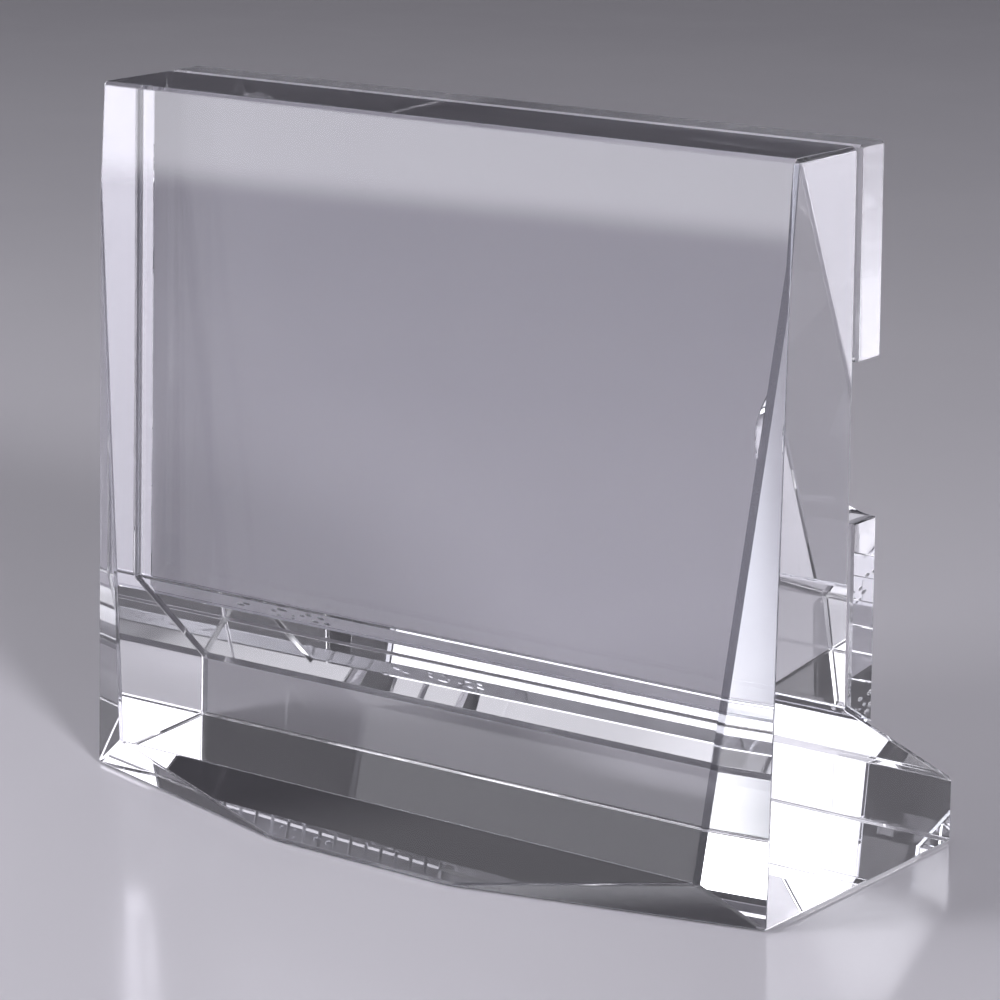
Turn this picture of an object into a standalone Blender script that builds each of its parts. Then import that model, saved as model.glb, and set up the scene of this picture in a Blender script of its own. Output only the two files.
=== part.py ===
"""Clear table-top sign holder: a cut and polished crystal block with a retaining panel behind it.

The block is a side outline drawn once and extruded across the width: a toe in front, a display
face that leans back, a flat top, an upright rear face and a ramp down to the rear foot.  Each
front corner is then cut by two planes.  A flat panel stands on the ramp, one card slot behind
the upright rear face, with a half-round thumb notch in its right-hand edge.

Units are metres.  +X is the right-hand end, +Y the back, +Z up.  The origin is the centre of the
footprint, on the surface that the block stands on.
"""

import math

import bmesh
import bpy
from mathutils import Vector

# Block, measured from the front foot of its end faces (the datum) and from the ground
BLOCK_WIDTH = 0.100
BLOCK_HEIGHT = 0.085
TOP_SETBACK = 0.0035          # datum to the front edge of the top face
TOP_THICKNESS = 0.012         # front to back, along the top face
BASE_DEPTH = 0.039            # datum to the rear foot
RAMP_TOP_HEIGHT = 0.022       # where the upright rear face meets the ramp
REAR_FOOT_HEIGHT = 0.0078     # upright face at the lower end of the ramp

# Toe that runs out in front of the display face
DISPLAY_FOOT_REACH = 0.0034   # datum forward to the foot of the display face
DISPLAY_FOOT_HEIGHT = 0.005
TOE_REACH = 0.0094            # datum forward to the blunt tip of the toe
TOE_LAND = 0.0005             # height of that blunt tip
TOE_MIDDLE_WIDTH = 0.027      # full-reach length of the tip, between the two corner cuts

# Corner cuts, alike at both ends
CORNER_WIDTH = 0.007          # end face to the corner cut's meeting point on the display face
CORNER_RUNOUT_DROP = 0.011    # below the top, where the upper cut runs out on the end face

# Polished edges
EDGE_CHAMFER = 0.0006
FOOT_CHAMFER = 0.0003         # the ground outline and the short edges over the toe
CUT_CHAMFER = 0.0005          # between the display face and the corner cut

# Rear panel
CARD_SLOT = 0.0005            # upright rear face to the panel
PANEL_THICKNESS = 0.0048
SEAT_GAP = 0.0003             # glue line between the ramp and the panel's foot
NOTCH_RADIUS = 0.0091
NOTCH_CENTRE_HEIGHT = 0.052
NOTCH_SEGMENTS = 64
CUTTER_MARGIN = 0.002

COLLECTION_NAME = "table_tent_sign_holder"
FLAT_ANGLE = math.radians(0.5)
WELD = 0.000005

HALF_WIDTH = BLOCK_WIDTH / 2.0
FOOTPRINT_DEPTH = TOE_REACH + BASE_DEPTH
DATUM_Y = TOE_REACH - FOOTPRINT_DEPTH / 2.0
TOE_TIP_Y = DATUM_Y - TOE_REACH
DISPLAY_FOOT_Y = DATUM_Y - DISPLAY_FOOT_REACH
TOP_FRONT_Y = DATUM_Y + TOP_SETBACK
BACK_Y = TOP_FRONT_Y + TOP_THICKNESS
REAR_FOOT_Y = DATUM_Y + BASE_DEPTH
PANEL_FRONT_Y = BACK_Y + CARD_SLOT
PANEL_REAR_Y = PANEL_FRONT_Y + PANEL_THICKNESS


def clear_scene():
    """Start from an empty scene."""
    for old in list(bpy.data.objects):
        bpy.data.objects.remove(old, do_unlink=True)


def new_collection(name):
    """Add a collection to the scene."""
    collection = bpy.data.collections.new(name)
    bpy.context.scene.collection.children.link(collection)
    return collection


def crystal(name, tint, roughness):
    """Clear polished glass."""
    material = bpy.data.materials.new(name)
    material.use_nodes = True
    shader = material.node_tree.nodes["Principled BSDF"]
    shader.inputs["Base Color"].default_value = tint
    shader.inputs["Metallic"].default_value = 0.0
    shader.inputs["Roughness"].default_value = roughness
    shader.inputs["IOR"].default_value = 1.51
    shader.inputs["Transmission Weight"].default_value = 1.0
    return material


def extruded_outline(name, outline, width):
    """Extrude a closed outline of (y, z) points along X and return it as a welded mesh object."""
    curve = bpy.data.curves.new(name + "_outline", "CURVE")
    curve.dimensions = "2D"
    curve.fill_mode = "BOTH"
    curve.extrude = width / 2.0
    spline = curve.splines.new("POLY")
    spline.points.add(len(outline) - 1)
    for point, (y, z) in zip(spline.points, outline):
        point.co = (y, z, 0.0, 1.0)
    spline.use_cyclic_u = True

    drawn = bpy.data.objects.new(name + "_outline", curve)
    drawn.rotation_euler = (math.pi / 2.0, 0.0, math.pi / 2.0)
    bpy.context.scene.collection.objects.link(drawn)
    depsgraph = bpy.context.evaluated_depsgraph_get()
    mesh = bpy.data.meshes.new_from_object(drawn.evaluated_get(depsgraph))
    mesh.name = name
    mesh.transform(drawn.matrix_world)
    bpy.data.objects.remove(drawn, do_unlink=True)

    work = bmesh.new()
    work.from_mesh(mesh)
    clean_up(work)
    work.to_mesh(mesh)
    work.free()
    return bpy.data.objects.new(name, mesh)


def clean_up(work):
    """Weld doubled points and join neighbouring faces that lie in one plane."""
    bmesh.ops.remove_doubles(work, verts=work.verts, dist=WELD)
    bmesh.ops.dissolve_limit(work, angle_limit=FLAT_ANGLE, verts=work.verts, edges=work.edges)
    bmesh.ops.recalc_face_normals(work, faces=work.faces)


def cut_away(work, corner, second, third, inside):
    """Cut along the plane through three points and keep the side that holds the inside point."""
    normal = (second - corner).cross(third - corner).normalized()
    if (inside - corner).dot(normal) > 0.0:
        normal = -normal
    bmesh.ops.bisect_plane(
        work,
        geom=work.verts[:] + work.edges[:] + work.faces[:],
        dist=WELD,
        plane_co=corner,
        plane_no=normal,
        clear_outer=True,
    )
    bmesh.ops.holes_fill(work, edges=[edge for edge in work.edges if edge.is_boundary])


def ramp_height(y):
    """Height of the ramp above the ground at a given y."""
    fall = (RAMP_TOP_HEIGHT - REAR_FOOT_HEIGHT) / (REAR_FOOT_Y - BACK_Y)
    return RAMP_TOP_HEIGHT - fall * (y - BACK_Y)


def display_face_y(z):
    """y of the leaning display face at a given height."""
    lean = (TOP_FRONT_Y - DISPLAY_FOOT_Y) / (BLOCK_HEIGHT - DISPLAY_FOOT_HEIGHT)
    return TOP_FRONT_Y - lean * (BLOCK_HEIGHT - z)


def weigh_edges(mesh, weight_of_edge):
    """Give each edge its share of the chamfer width."""
    work = bmesh.new()
    work.from_mesh(mesh)
    layer = work.edges.layers.float.new("bevel_weight_edge")
    for edge in work.edges:
        edge[layer] = weight_of_edge(edge)
    work.to_mesh(mesh)
    work.free()


def chamfer(thing):
    """Add the polished edges, by weight."""
    bevel = thing.modifiers.new("polished_edges", "BEVEL")
    bevel.width = EDGE_CHAMFER
    bevel.segments = 1
    bevel.limit_method = "WEIGHT"
    bevel.use_clamp_overlap = True


def crystal_block(collection, material):
    """The one-piece block: side outline, two cuts at each front corner, polished edges."""
    outline = [
        (TOE_TIP_Y, 0.0),
        (TOE_TIP_Y, TOE_LAND),
        (DISPLAY_FOOT_Y, DISPLAY_FOOT_HEIGHT),
        (TOP_FRONT_Y, BLOCK_HEIGHT),
        (BACK_Y, BLOCK_HEIGHT),
        (BACK_Y, RAMP_TOP_HEIGHT),
        (REAR_FOOT_Y, REAR_FOOT_HEIGHT),
        (REAR_FOOT_Y, 0.0),
    ]
    block = extruded_outline("crystal_block", outline, BLOCK_WIDTH)

    # Both cuts of the right-hand corner pass through its foot and its meeting point
    foot = Vector((HALF_WIDTH, DATUM_Y, 0.0))
    meeting = Vector((HALF_WIDTH - CORNER_WIDTH, DISPLAY_FOOT_Y, DISPLAY_FOOT_HEIGHT))
    runout_height = BLOCK_HEIGHT - CORNER_RUNOUT_DROP
    runout = Vector((HALF_WIDTH, display_face_y(runout_height), runout_height))
    toe_end = Vector((TOE_MIDDLE_WIDTH / 2.0, TOE_TIP_Y, 0.0))
    inside = Vector((0.0, (DATUM_Y + BACK_Y) / 2.0, RAMP_TOP_HEIGHT))
    work = bmesh.new()
    work.from_mesh(block.data)
    cut_away(work, foot, meeting, runout, inside)
    cut_away(work, foot, meeting, toe_end, inside)
    clean_up(work)
    work.to_mesh(block.data)
    work.free()

    def weight(edge):
        if not edge.is_convex:
            return 0.0
        touches_tip = [abs(v.co.y - TOE_TIP_Y) < WELD for v in edge.verts]
        if all(touches_tip):
            return 0.0
        if max(v.co.z for v in edge.verts) <= DISPLAY_FOOT_HEIGHT + WELD:
            return FOOT_CHAMFER / EDGE_CHAMFER
        on_display = [abs(v.co.y - display_face_y(v.co.z)) < WELD for v in edge.verts]
        on_end = [abs(v.co.x - HALF_WIDTH) < WELD for v in edge.verts]
        below_runout = min(v.co.z for v in edge.verts) < runout_height - WELD
        if all(on_display) and not all(on_end) and below_runout:
            return CUT_CHAMFER / EDGE_CHAMFER
        if all(on_end) and any(on_display) and any(v.co.z < WELD for v in edge.verts):
            return 0.0
        return 1.0

    weigh_edges(block.data, weight)
    mirror = block.modifiers.new("left_end", "MIRROR")
    mirror.use_axis = (True, False, False)
    mirror.use_bisect_axis = (True, False, False)
    mirror.use_bisect_flip_axis = (False, False, False)
    mirror.merge_threshold = WELD
    chamfer(block)
    block.data.materials.append(material)
    collection.objects.link(block)
    return block


def notch_cutter(collection):
    """Cylinder through the panel, centred on its right-hand end face."""
    length = PANEL_THICKNESS + 2.0 * CUTTER_MARGIN
    turn = Vector((HALF_WIDTH, (PANEL_FRONT_Y + PANEL_REAR_Y) / 2.0, NOTCH_CENTRE_HEIGHT))
    mesh = bpy.data.meshes.new("notch_cutter")
    work = bmesh.new()
    bmesh.ops.create_cone(
        work,
        cap_ends=True,
        segments=NOTCH_SEGMENTS,
        radius1=NOTCH_RADIUS,
        radius2=NOTCH_RADIUS,
        depth=length,
    )
    work.to_mesh(mesh)
    work.free()
    cutter = bpy.data.objects.new("notch_cutter", mesh)
    cutter.location = turn
    cutter.rotation_euler = (math.pi / 2.0, math.pi / NOTCH_SEGMENTS, 0.0)
    cutter.hide_render = True
    cutter.display_type = "WIRE"
    collection.objects.link(cutter)
    return cutter


def rear_panel(collection, cutters, material):
    """The flat panel behind the card slot: foot cut to the ramp, one thumb notch."""
    outline = [
        (PANEL_FRONT_Y, ramp_height(PANEL_FRONT_Y) + SEAT_GAP),
        (PANEL_FRONT_Y, BLOCK_HEIGHT),
        (PANEL_REAR_Y, BLOCK_HEIGHT),
        (PANEL_REAR_Y, ramp_height(PANEL_REAR_Y) + SEAT_GAP),
    ]
    panel = extruded_outline("rear_panel", outline, BLOCK_WIDTH)

    def weight(edge):
        at_foot = [v.co.z < RAMP_TOP_HEIGHT for v in edge.verts]
        return 0.0 if all(at_foot) else 1.0

    weigh_edges(panel.data, weight)
    chamfer(panel)
    notch = panel.modifiers.new("thumb_notch", "BOOLEAN")
    notch.operation = "DIFFERENCE"
    notch.solver = "EXACT"
    notch.object = notch_cutter(cutters)
    panel.data.materials.append(material)
    collection.objects.link(panel)
    return panel


def main():
    clear_scene()
    parts = new_collection(COLLECTION_NAME)
    cutters = new_collection("cutters")
    crystal_block(parts, crystal("block_crystal", (0.93, 0.94, 0.97, 1.0), 0.01))
    rear_panel(parts, cutters, crystal("panel_crystal", (0.95, 0.95, 0.96, 1.0), 0.01))


main()
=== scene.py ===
import math
import random

import bmesh
import bpy
from mathutils import Matrix, Vector, noise


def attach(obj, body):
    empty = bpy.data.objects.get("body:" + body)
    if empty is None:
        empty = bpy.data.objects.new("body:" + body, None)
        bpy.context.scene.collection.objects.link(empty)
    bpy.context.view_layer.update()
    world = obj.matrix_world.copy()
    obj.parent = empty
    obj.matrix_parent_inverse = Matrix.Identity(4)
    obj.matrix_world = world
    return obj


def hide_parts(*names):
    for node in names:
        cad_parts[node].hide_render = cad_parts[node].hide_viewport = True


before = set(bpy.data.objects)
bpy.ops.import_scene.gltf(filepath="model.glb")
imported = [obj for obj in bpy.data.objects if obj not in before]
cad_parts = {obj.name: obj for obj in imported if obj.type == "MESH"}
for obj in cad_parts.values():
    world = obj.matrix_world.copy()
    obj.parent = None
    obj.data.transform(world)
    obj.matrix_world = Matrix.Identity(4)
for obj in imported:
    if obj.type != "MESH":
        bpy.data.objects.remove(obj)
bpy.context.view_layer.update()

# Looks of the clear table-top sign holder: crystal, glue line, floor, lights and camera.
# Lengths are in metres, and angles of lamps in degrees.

BODY = "root"
MM = 0.001

# Camera, from the photograph's own perspective
PHOTO_SIDE_PX = 1000.0
SENSOR_MM = 36.0
FOCAL_PX = 3907.0
CAMERA_AZIMUTH = 0.6567
CAMERA_PITCH = 0.2426
CAMERA_POSITION = Vector((0.27385, -0.35299, 0.14893))
CLIP_START = 0.01
CLIP_END = 50.0

# Sizes that the panel and the glue line share with the CAD solids
HALF_WIDTH = 0.050
BLOCK_HEIGHT = 0.085
BACK_Y = 0.0007
REAR_FOOT_Y = 0.0242
RAMP_TOP_HEIGHT = 0.022
REAR_FOOT_HEIGHT = 0.0078
PANEL_FRONT_Y = 0.0012
PANEL_REAR_Y = 0.0060
SEAT_GAP = 0.0003
EDGE_CHAMFER = 0.0006
NOTCH_RADIUS = 0.0091
NOTCH_HEIGHT = 0.052

# Finer forms that only the scene has
NOTCH_STEPS = 96
NOTCH_CHAMFER = 0.00025
FOOT_CHAMFER_SHARE = 0.15
EDGE_ROUNDING = 0.00009
ROUNDING_STEPS = 2
ROUNDING_ANGLE = math.radians(12.0)
WELD = 0.000002
FLAT_ANGLE = math.radians(0.3)
ON_RAMP_REACH = 0.02 * MM

# Which edge faces get the dark-tinted glass, a painted shade for the dark surroundings that these
# edges reflect: by width, length, steepness and distance from the notch
PAINTED_EDGE_WIDTH = 0.00095
PAINTED_EDGE_LENGTH = 5.0 * MM
PAINTED_EDGE_STEEPNESS = 0.6
NOTCH_ZONE = 1.2 * NOTCH_RADIUS
NOTCH_REACH = 1.001 * NOTCH_RADIUS
TOP_EDGE_DEPTH = 0.3 * MM

# Places in a piece's list of materials, after the clear one
BONDED = 1
PAINTED_DARK_EDGE = 2
GROUND = 2

# The adhesive: where it wets the glass along the ramp (y), and its edges
BONDED_SPAN = (0.00135, 0.00585)
FILM_OVERLAP = 0.00004
FILM_STEPS = 220
FILM_INSET = 0.0006
FILM_EDGE_INSET = 0.00005
FILM_WANDER_FRONT = 0.00012
FILM_WANDER_REAR = 0.00015
WANDER_LENGTH = 14.0 * MM
WANDER_SEED_STEP = 7.3

# Its bubbles: (middle, reach, count) of each cluster, then ranges, all in mm
BUBBLE_SEED = 8806
BUBBLE_CLUSTERS = [(-27.0, 8.0, 12), (45.0, 3.6, 11)]
BUBBLE_SIZES = (0.18, 0.55)
BUBBLE_ACROSS = (-1.7, 1.7)
BUBBLE_LONG_RATIOS = (1.0, 1.9)
BUBBLE_END_MARGIN = 2.0
BUBBLE_SPACING = 1.15
BUBBLE_HALF_THICKNESS = 0.00011
BUBBLE_PULL = 0.12
BUBBLE_PULL_SCALE = 0.6 * MM

# Glass: two tints, index, haze, wave of the lapped faces, seed, roughness everywhere
BLOCK_INDEX = 1.51
PANEL_INDEX = 1.586
BLOCK_TINTS = ((0.835, 0.833, 0.862), (0.860, 0.857, 0.883))
PANEL_TINTS = ((0.885, 0.882, 0.905), (0.910, 0.907, 0.925))
ADHESIVE_TINTS = ((0.52, 0.52, 0.58), (0.66, 0.66, 0.71))
BONDED_TINTS = ((0.97, 0.97, 0.98), (0.99, 0.99, 1.0))
# The narrow edge faces get a dark tint: painted shade for the dark surroundings that these edges
# reflect
EDGE_PAINTED_DARK_TINTS = ((0.17, 0.17, 0.20), (0.27, 0.27, 0.30))
GROUND_TINTS = ((0.93, 0.93, 0.95), (0.97, 0.97, 0.98))
GLASS = {
    "block_crystal_clear": (BLOCK_TINTS, BLOCK_INDEX, 0.014, 0.000005, 3.1, 0.0),
    "panel_crystal_clear": (PANEL_TINTS, PANEL_INDEX, 0.012, 0.000003, 8.6, 0.0),
    "adhesive_clear": (ADHESIVE_TINTS, BLOCK_INDEX, 0.12, 0.000010, 5.2, 0.0),
    "bonded_faces": (BONDED_TINTS, 1.0, 0.0, 0.0, 5.2, 0.0),
    # Edge glass: a little rougher, and its dark tint is painted shade
    "edge_crystal_painted_dark": (EDGE_PAINTED_DARK_TINTS, BLOCK_INDEX, 0.06, 0.000004, 1.4, 0.04),
    "ground_edge_crystal": (GROUND_TINTS, PANEL_INDEX, 0.10, 0.000004, 6.3, 0.22),
}
TINT_SCALE = 22.0
SMEAR_SCALE = 70.0
LAPPING_SCALE = 38.0

# Table top
FLOOR_TONES = ((0.740, 0.722, 0.770), (0.770, 0.752, 0.798))
FLOOR_ROUGHNESS = 0.13
FLOOR_HALF_SIZE = 4.0
FLOOR_DROP = 0.0002
MOTTLE_SCALE = 9.0
GLOSS_SCALE = 30.0

# Lamps, aimed at a point inside the holder
LAMP_TARGET = Vector((0.0, 0.0, 0.04))
COOL = (0.95, 0.95, 1.0)
SOFT_COOL = (0.96, 0.95, 1.0)
ALL, CARD, HOLDER, FLOOR = "all", "card", "holder", "floor"

# Name, what it lights, azimuth, elevation, distance, width, height, radiance, fade, tint
LAMPS = [
    ("key_front_left", ALL, -56.0, 21.0, 1.05, 1.16, 0.60, 1.9, 0.10, COOL),
    ("key_foot", HOLDER, -44.0, 2.1, 1.05, 0.95, 0.085, 4.8, 0.35, COOL),
    ("rear_left", CARD, -120.4, 11.0, 1.12, 0.33, 0.52, 4.4, 0.20, (0.90, 0.94, 1.0)),
    ("rear_left_high", CARD, -120.0, 21.0, 1.12, 0.30, 0.26, 4.2, 0.20, (1.0, 0.95, 0.90)),
    ("rear_right", CARD, 147.0, 12.0, 0.95, 0.64, 0.50, 2.5, 0.35, (0.95, 0.93, 1.0)),
    ("front_low", CARD, 14.0, 10.6, 0.63, 0.28, 0.16, 2.4, 0.10, COOL),
    ("front_right", CARD, 33.0, 47.0, 0.93, 0.36, 0.22, 1.6, 0.20, COOL),
    ("overhead_left", CARD, -68.0, 50.0, 0.96, 0.26, 0.32, 0.9, 0.20, SOFT_COOL),
    ("overhead_right", CARD, 63.2, 44.4, 1.00, 0.64, 0.45, 0.9, 0.22, SOFT_COOL),
    ("side_right", CARD, 90.0, 15.0, 0.90, 0.21, 0.22, 2.2, 0.28, COOL),
    ("overhead_back", CARD, -148.0, 45.0, 0.95, 0.45, 0.20, 1.8, 0.20, (0.96, 0.96, 1.0)),
    ("floor_fill", FLOOR, -60.0, 80.0, 1.60, 1.20, 1.20, 0.75, 0.40, SOFT_COOL),
    ("floor_side", FLOOR, 59.5, 24.0, 2.40, 0.42, 0.50, 92.0, 0.40, SOFT_COOL),
    ("floor_back", FLOOR, -142.0, 60.0, 2.30, 1.20, 1.00, 1.3, 0.40, SOFT_COOL),
    ("floor_front", FLOOR, -38.0, 30.0, 0.62, 0.25, 0.20, 13.0, 0.40, SOFT_COOL),
]
WORLD_COLOUR = (0.058, 0.056, 0.064, 1.0)


def forward_direction(azimuth, pitch):
    """Unit vector that a camera at this azimuth looks along, pitched down."""
    flat = math.cos(pitch)
    return Vector((-math.sin(azimuth) * flat, math.cos(azimuth) * flat, -math.sin(pitch)))


def add_camera():
    data = bpy.data.cameras.new("camera")
    data.sensor_width = SENSOR_MM
    data.lens = FOCAL_PX * SENSOR_MM / PHOTO_SIDE_PX
    data.clip_start = CLIP_START
    data.clip_end = CLIP_END
    camera = bpy.data.objects.new("camera", data)
    camera.location = CAMERA_POSITION
    aim = forward_direction(CAMERA_AZIMUTH, CAMERA_PITCH)
    camera.rotation_euler = aim.to_track_quat("-Z", "Y").to_euler()
    bpy.context.scene.collection.objects.link(camera)
    bpy.context.scene.camera = camera


def new_object(name, work):
    """Turn a bmesh into a linked object."""
    mesh = bpy.data.meshes.new(name)
    work.to_mesh(mesh)
    work.free()
    thing = bpy.data.objects.new(name, mesh)
    bpy.context.scene.collection.objects.link(thing)
    return thing


def bake_modifiers(thing):
    """Make the object's modifiers part of its mesh."""
    depsgraph = bpy.context.evaluated_depsgraph_get()
    mesh = bpy.data.meshes.new_from_object(thing.evaluated_get(depsgraph))
    mesh.name = thing.name
    thing.modifiers.clear()
    thing.data = mesh


def round_edges(thing, width, steps):
    """Soften every edge by a hair, as lapping and polishing do."""
    bevel = thing.modifiers.new("polish", "BEVEL")
    bevel.width = width
    bevel.segments = steps
    bevel.limit_method = "ANGLE"
    bevel.angle_limit = ROUNDING_ANGLE
    bevel.use_clamp_overlap = True
    bevel.harden_normals = True
    bake_modifiers(thing)


def ramp_height(y):
    fall = (RAMP_TOP_HEIGHT - REAR_FOOT_HEIGHT) / (REAR_FOOT_Y - BACK_Y)
    return RAMP_TOP_HEIGHT - fall * (y - BACK_Y)


def mark_painted_dark_edges(block):
    """Give narrow faces along upright and leaning edges a slightly rougher glass with a dark tint.
    The tint is painted shade for the dark surroundings that these edges reflect.
    Edges beside the notch stay clear."""
    mesh = block.data
    notch = Vector((HALF_WIDTH, NOTCH_HEIGHT))
    for face in mesh.polygons:
        corners = [mesh.vertices[i].co for i in face.vertices]
        sides = [b - a for a, b in zip(corners, corners[1:] + corners[:1])]
        longest = max(sides, key=lambda side: side.length)
        narrow = face.area / longest.length < PAINTED_EDGE_WIDTH
        steep = abs(longest.z) > PAINTED_EDGE_STEEPNESS * longest.length
        upright = steep and longest.length > PAINTED_EDGE_LENGTH
        by_notch = (Vector((face.center.x, face.center.z)) - notch).length < NOTCH_ZONE
        if narrow and upright and not by_notch:
            # Painted shade: this edge face gets the dark-tinted glass
            face.material_index = PAINTED_DARK_EDGE


def on_ramp(face):
    """Whether a face lies on the ramp's plane."""
    return all(abs(v.co.z - ramp_height(v.co.y)) < ON_RAMP_REACH for v in face.verts)


def mark_bonded_strip(block):
    """Part the ramp along the foot of the panel, where adhesive wets the block."""
    work = bmesh.new()
    work.from_mesh(block.data)
    for cut_y in BONDED_SPAN:
        ramp = [face for face in work.faces if on_ramp(face)]
        edges = {edge for face in ramp for edge in face.edges}
        verts = {vert for face in ramp for vert in face.verts}
        bmesh.ops.bisect_plane(
            work,
            geom=[*verts, *edges, *ramp],
            plane_co=(0.0, cut_y, 0.0),
            plane_no=(0.0, 1.0, 0.0),
        )
    for face in work.faces:
        if on_ramp(face) and BONDED_SPAN[0] < face.calc_center_median().y < BONDED_SPAN[1]:
            face.material_index = BONDED
    work.to_mesh(block.data)
    work.free()


def polished_block():
    """The block with its facets as in CAD, each facet edge softened, and its narrow edge faces
    given a dark tint of painted shade.
    """
    work = bmesh.new()
    work.from_mesh(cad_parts["crystal_block"].data)
    bmesh.ops.remove_doubles(work, verts=work.verts, dist=WELD)
    bmesh.ops.dissolve_limit(work, angle_limit=FLAT_ANGLE, verts=work.verts, edges=work.edges)
    bmesh.ops.recalc_face_normals(work, faces=work.faces)
    block = new_object("polished_block", work)
    round_edges(block, EDGE_ROUNDING, ROUNDING_STEPS)
    mark_bonded_strip(block)
    mark_painted_dark_edges(block)
    return block


def panel_outline(y):
    """Points of the panel's outline in one plane, from the foot's left end round to the notch."""
    foot = ramp_height(y) + SEAT_GAP
    points = [(-HALF_WIDTH, foot), (HALF_WIDTH, foot)]
    for step in range(NOTCH_STEPS + 1):
        turn = -math.pi / 2.0 - math.pi * step / NOTCH_STEPS
        x = HALF_WIDTH + NOTCH_RADIUS * math.cos(turn)
        z = NOTCH_HEIGHT + NOTCH_RADIUS * math.sin(turn)
        points.append((x, z))
    points += [(HALF_WIDTH, BLOCK_HEIGHT), (-HALF_WIDTH, BLOCK_HEIGHT)]
    return [Vector((x, y, z)) for x, z in points]


def panel_edge_weight(edge):
    """Share of the full chamfer that one edge of the panel gets."""
    ends = [v.co for v in edge.verts]
    if all(v.z < RAMP_TOP_HEIGHT for v in ends):
        return FOOT_CHAMFER_SHARE
    centres = [Vector((HALF_WIDTH, v.y, NOTCH_HEIGHT)) for v in ends]
    if not all((v - c).length < NOTCH_REACH for v, c in zip(ends, centres)):
        return 1.0
    along = abs(ends[0].y - ends[1].y) > MM
    at_mouth = all(abs(v.x - HALF_WIDTH) < WELD for v in ends)
    return 0.0 if along and not at_mouth else NOTCH_CHAMFER / EDGE_CHAMFER


def polished_panel():
    """The rear panel with a smooth round notch and small chamfers, also around the notch."""
    work = bmesh.new()
    front = [work.verts.new(p) for p in panel_outline(PANEL_FRONT_Y)]
    rear = [work.verts.new(p) for p in panel_outline(PANEL_REAR_Y)]
    work.faces.new(front)
    work.faces.new(rear[::-1])
    for a in range(len(front)):
        b = (a + 1) % len(front)
        work.faces.new((front[b], front[a], rear[a], rear[b]))
    bmesh.ops.recalc_face_normals(work, faces=work.faces)
    layer = work.edges.layers.float.new("bevel_weight_edge")
    for edge in work.edges:
        edge[layer] = panel_edge_weight(edge)
    panel = new_object("polished_panel", work)
    bevel = panel.modifiers.new("chamfers", "BEVEL")
    bevel.width = EDGE_CHAMFER
    bevel.segments = 1
    bevel.limit_method = "WEIGHT"
    bake_modifiers(panel)
    round_edges(panel, EDGE_ROUNDING, ROUNDING_STEPS)
    for face in panel.data.polygons:
        middle = face.center
        flat_foot = abs(middle.z - ramp_height(middle.y) - SEAT_GAP) < ON_RAMP_REACH
        if flat_foot and BONDED_SPAN[0] < middle.y < BONDED_SPAN[1]:
            face.material_index = BONDED
    for face in panel.data.polygons:
        if face.center.z > BLOCK_HEIGHT - TOP_EDGE_DEPTH:
            face.material_index = GROUND
    return panel


def smooth_wander(seed, x, reach):
    """A slow, seeded wander along x, between about -reach and reach."""
    return reach * noise.noise(Vector((x / WANDER_LENGTH, seed * WANDER_SEED_STEP, 0.0)))


def add_film_body(work):
    """A flat band in the glue gap, with wandering front and rear edges."""
    rings = []
    for step in range(FILM_STEPS + 1):
        x = (HALF_WIDTH - FILM_INSET) * (2.0 * step / FILM_STEPS - 1.0)
        y_front = BONDED_SPAN[0] + FILM_EDGE_INSET + smooth_wander(1.0, x, FILM_WANDER_FRONT)
        y_rear = BONDED_SPAN[1] - FILM_EDGE_INSET + smooth_wander(2.0, x, FILM_WANDER_REAR)
        ring = []
        for y, lift in ((y_front, 1), (y_rear, 1), (y_rear, -1), (y_front, -1)):
            z = ramp_height(y) + (SEAT_GAP + FILM_OVERLAP if lift > 0 else -FILM_OVERLAP)
            ring.append(work.verts.new((x, y, z)))
        rings.append(ring)
    for one, two in zip(rings, rings[1:]):
        for a in range(4):
            b = (a + 1) % 4
            side = work.faces.new((one[a], one[b], two[b], two[a]))
            side.material_index = BONDED if a in (0, 2) else 0
    work.faces.new(rings[0][::-1])
    work.faces.new(rings[-1])
    bmesh.ops.recalc_face_normals(work, faces=work.faces)


def bubble_spots(draw):
    """Where bubbles lie: x, distance across the ramp, half length and half width."""
    placed = []
    for middle, reach, count in BUBBLE_CLUSTERS:
        made = 0
        while made < count:
            size = draw.uniform(*BUBBLE_SIZES)
            x = (middle + draw.uniform(-reach, reach)) * MM
            across = draw.uniform(*BUBBLE_ACROSS) * MM
            half_length = size * draw.uniform(*BUBBLE_LONG_RATIOS) * MM
            if abs(x) > HALF_WIDTH - BUBBLE_END_MARGIN * MM:
                continue
            gaps = (math.hypot(x - p[0], across - p[1]) / (half_length + p[2]) for p in placed)
            if any(gap < BUBBLE_SPACING for gap in gaps):
                continue
            placed.append((x, across, half_length, size * MM))
            made += 1
    return placed


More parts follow.
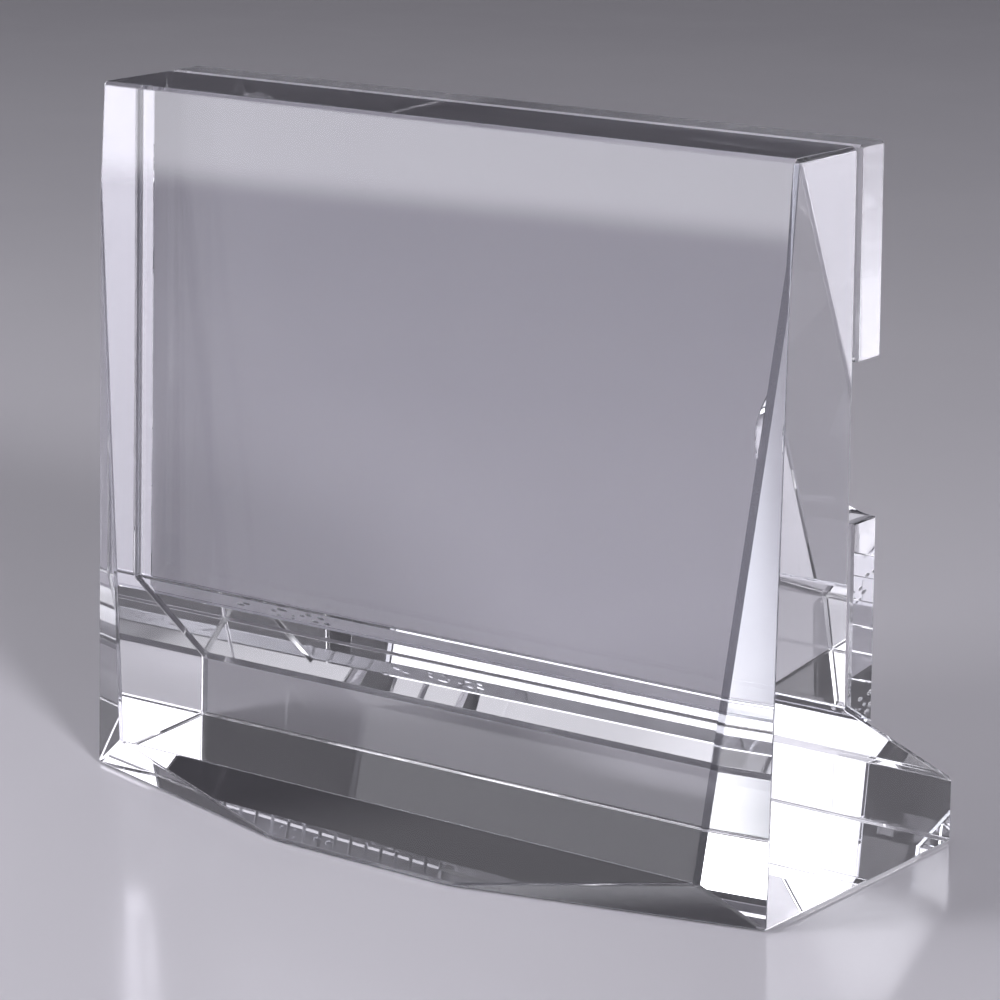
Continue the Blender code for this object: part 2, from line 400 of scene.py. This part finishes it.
def add_bubbles(work):
    """Each bubble is a flat void: a small shell whose faces look inwards."""
    slope = Vector((0.0, REAR_FOOT_Y - BACK_Y, REAR_FOOT_HEIGHT - RAMP_TOP_HEIGHT)).normalized()
    normal = Vector((0.0, -slope.z, slope.y))
    centre_y = 0.5 * (BONDED_SPAN[0] + BONDED_SPAN[1])
    for x, across, half_length, half_width in bubble_spots(random.Random(BUBBLE_SEED)):
        y = centre_y + across * slope.y
        middle = Vector((x, y, ramp_height(y) + 0.5 * SEAT_GAP))
        turn = Matrix((
            (1.0, 0.0, 0.0, middle.x),
            (0.0, slope.y, normal.y, middle.y),
            (0.0, slope.z, normal.z, middle.z),
            (0.0, 0.0, 0.0, 1.0),
        ))
        shape = Matrix.Diagonal((half_length, half_width, BUBBLE_HALF_THICKNESS, 1.0))
        shell = bmesh.ops.create_icosphere(work, subdivisions=3, radius=1.0, matrix=turn @ shape)
        faces = {face for vert in shell["verts"] for face in vert.link_faces}
        for vert in shell["verts"]:
            pull = noise.noise(vert.co / BUBBLE_PULL_SCALE) * BUBBLE_PULL
            vert.co += (vert.co - middle).project(Vector((1, 0, 0))) * pull
        bmesh.ops.reverse_faces(work, faces=list(faces))
        for face in faces:
            face.smooth = True


def glue_film():
    """The clear adhesive between ramp and panel foot, with its trapped bubbles."""
    work = bmesh.new()
    add_film_body(work)
    add_bubbles(work)
    return new_object("adhesive_film", work)


def noise_field(tree, place, scale, detail, low, high, to_low, to_high):
    """Noise over the piece, cut to low..high and stretched to to_low..to_high."""
    field = tree.nodes.new("ShaderNodeTexNoise")
    field.inputs["Scale"].default_value = scale
    field.inputs["Detail"].default_value = detail
    tree.links.new(place, field.inputs["Vector"])
    span = tree.nodes.new("ShaderNodeMapRange")
    span.inputs["From Min"].default_value = low
    span.inputs["From Max"].default_value = high
    span.inputs["To Min"].default_value = to_low
    span.inputs["To Max"].default_value = to_high
    tree.links.new(field.outputs["Fac"], span.inputs["Value"])
    return span.outputs[0]


def blend_colours(tree, share, first, second):
    """A colour between first and second, by a share from other nodes."""
    mix = tree.nodes.new("ShaderNodeMix")
    mix.data_type = "RGBA"
    mix.inputs["A"].default_value = (*first, 1.0)
    mix.inputs["B"].default_value = (*second, 1.0)
    tree.links.new(share, mix.inputs["Factor"])
    return mix.outputs["Result"]


def crystal_material(name):
    """Polished crystal: an uneven tint, light smears in the polish, lapped faces not quite flat."""
    tints, index, haze, wave, seed, ground = GLASS[name]
    material = bpy.data.materials.new(name)
    material.use_nodes = True
    tree = material.node_tree
    shader = tree.nodes["Principled BSDF"]
    shader.inputs["IOR"].default_value = index
    shader.inputs["Transmission Weight"].default_value = 1.0
    coordinates = tree.nodes.new("ShaderNodeTexCoord")
    shift = tree.nodes.new("ShaderNodeVectorMath")
    shift.operation = "ADD"
    shift.inputs[1].default_value = (seed, 0.37 * seed, 1.7 * seed)
    tree.links.new(coordinates.outputs["Object"], shift.inputs[0])
    place = shift.outputs[0]
    cloud = noise_field(tree, place, TINT_SCALE, 2.0, 0.3, 0.7, 0.0, 1.0)
    tree.links.new(blend_colours(tree, cloud, *tints), shader.inputs["Base Color"])
    smears = noise_field(tree, place, SMEAR_SCALE, 4.0, 0.56, 0.74, ground, ground + haze)
    tree.links.new(smears, shader.inputs["Roughness"])
    lapping = noise_field(tree, place, LAPPING_SCALE, 1.0, 0.0, 1.0, 0.0, 1.0)
    bump = tree.nodes.new("ShaderNodeBump")
    bump.inputs["Strength"].default_value = 1.0
    bump.inputs["Distance"].default_value = wave
    tree.links.new(lapping, bump.inputs["Height"])
    tree.links.new(bump.outputs["Normal"], shader.inputs["Normal"])
    return material


def floor_material():
    """A pale lacquered table top: a faint mottle, and a gloss that varies a little."""
    material = bpy.data.materials.new("pale_floor")
    material.use_nodes = True
    tree = material.node_tree
    shader = tree.nodes["Principled BSDF"]
    coordinates = tree.nodes.new("ShaderNodeTexCoord")
    place = coordinates.outputs["Object"]
    mottle = noise_field(tree, place, MOTTLE_SCALE, 5.0, 0.3, 0.7, 0.0, 1.0)
    colour = blend_colours(tree, mottle, FLOOR_TONES[0], FLOOR_TONES[1])
    tree.links.new(colour, shader.inputs["Base Color"])
    low, high = 0.9 * FLOOR_ROUGHNESS, 1.1 * FLOOR_ROUGHNESS
    gloss = noise_field(tree, place, GLOSS_SCALE, 3.0, 0.3, 0.7, low, high)
    tree.links.new(gloss, shader.inputs["Roughness"])
    return material


def add_floor():
    mesh = bpy.data.meshes.new("floor")
    work = bmesh.new()
    bmesh.ops.create_grid(work, x_segments=1, y_segments=1, size=FLOOR_HALF_SIZE)
    work.to_mesh(mesh)
    work.free()
    floor = bpy.data.objects.new("floor", mesh)
    floor.location.z = -FLOOR_DROP
    mesh.materials.append(floor_material())
    bpy.context.scene.collection.objects.link(floor)
    return floor


def soft_edges(data, fade):
    """Let the light fade out towards its edges, as a diffuser does."""
    data.use_nodes = True
    tree = data.node_tree
    emission = next(node for node in tree.nodes if node.type == "EMISSION")
    place = tree.nodes.new("ShaderNodeNewGeometry")
    split = tree.nodes.new("ShaderNodeSeparateXYZ")
    tree.links.new(place.outputs["Parametric"], split.inputs[0])
    both = tree.nodes.new("ShaderNodeMath")
    both.operation = "MULTIPLY"
    for slot, axis in enumerate("XY"):
        from_middle = tree.nodes.new("ShaderNodeMath")
        from_middle.operation = "SUBTRACT"
        from_middle.inputs[1].default_value = 0.5
        tree.links.new(split.outputs[axis], from_middle.inputs[0])
        distance = tree.nodes.new("ShaderNodeMath")
        distance.operation = "ABSOLUTE"
        tree.links.new(from_middle.outputs[0], distance.inputs[0])
        ramp = tree.nodes.new("ShaderNodeMapRange")
        ramp.interpolation_type = "SMOOTHSTEP"
        ramp.inputs["From Min"].default_value = 0.5
        ramp.inputs["From Max"].default_value = 0.5 - 0.5 * fade
        ramp.inputs["To Min"].default_value = 0.0
        ramp.inputs["To Max"].default_value = 1.0
        tree.links.new(distance.outputs[0], ramp.inputs["Value"])
        tree.links.new(ramp.outputs[0], both.inputs[slot])
    tree.links.new(both.outputs[0], emission.inputs["Strength"])


def softbox(name, azimuth, elevation, distance, width, height, radiance, fade, tint):
    """A soft light at an azimuth and elevation from the holder. Azimuth 0 is in front (-Y)."""
    a = math.radians(azimuth)
    e = math.radians(elevation)
    direction = Vector((math.sin(a) * math.cos(e), -math.cos(a) * math.cos(e), math.sin(e)))
    data = bpy.data.lights.new(name, "AREA")
    data.shape = "RECTANGLE"
    data.size = width
    data.size_y = height
    data.energy = radiance * math.pi * width * height
    data.color = tint
    soft_edges(data, fade)
    lamp = bpy.data.objects.new(name, data)
    lamp.location = LAMP_TARGET + direction * distance
    lamp.rotation_euler = (-direction).to_track_quat("-Z", "Y").to_euler()
    lamp.visible_camera = False
    bpy.context.scene.collection.objects.link(lamp)
    return lamp


def only_for(lamp, things):
    """Let a lamp light only these things."""
    group = bpy.data.collections.new(lamp.name + "_receivers")
    for thing in things:
        group.objects.link(thing)
    lamp.light_linking.receiver_collection = group


def add_lamps(holder, floor):
    """All lamps. A card shows in glass and gloss, and doesn't light the matt part of the floor."""
    for name, lights, *rest in LAMPS:
        lamp = softbox(name, *rest)
        lamp.visible_diffuse = lights != CARD
        if lights == HOLDER:
            only_for(lamp, holder)
        elif lights == FLOOR:
            only_for(lamp, [floor])


def add_world():
    world = bpy.data.worlds.new("studio")
    world.use_nodes = True
    background = world.node_tree.nodes["Background"]
    background.inputs["Color"].default_value = WORLD_COLOUR
    background.inputs["Strength"].default_value = 1.0
    bpy.context.scene.world = world


def set_renderer():
    """Long light paths, because light is guided along the glass by many reflections."""
    scene = bpy.context.scene
    scene.cycles.max_bounces = 48
    scene.cycles.transmission_bounces = 48
    scene.cycles.glossy_bounces = 48
    scene.cycles.diffuse_bounces = 3
    scene.cycles.caustics_reflective = True
    scene.cycles.caustics_refractive = True
    scene.cycles.use_denoising = True
    scene.cycles.sample_clamp_indirect = 6.0
    scene.view_settings.view_transform = "Standard"


def dress(piece, finishes, slot, *nodes):
    """Give a piece its materials and body, and hide the CAD nodes that it stands for. The slot is
    not used.
    """
    for finish in finishes:
        piece.data.materials.append(finish)
    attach(piece, BODY)
    if nodes:
        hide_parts(*nodes)
    return piece


add_camera()
# The fifth material is the edge glass whose dark tint is painted shade
clear_block, clear_panel, adhesive, bonded, dark_edge_paint, ground = [crystal_material(name) for name in GLASS]
holder = [
    dress(polished_block(), (clear_block, bonded, dark_edge_paint), "block_crystal", "crystal_block"),
    dress(polished_panel(), (clear_panel, bonded, ground), "panel_crystal", "rear_panel"),
    dress(glue_film(), (adhesive, bonded), "panel_crystal"),
]
add_lamps(holder, add_floor())
add_world()
set_renderer()
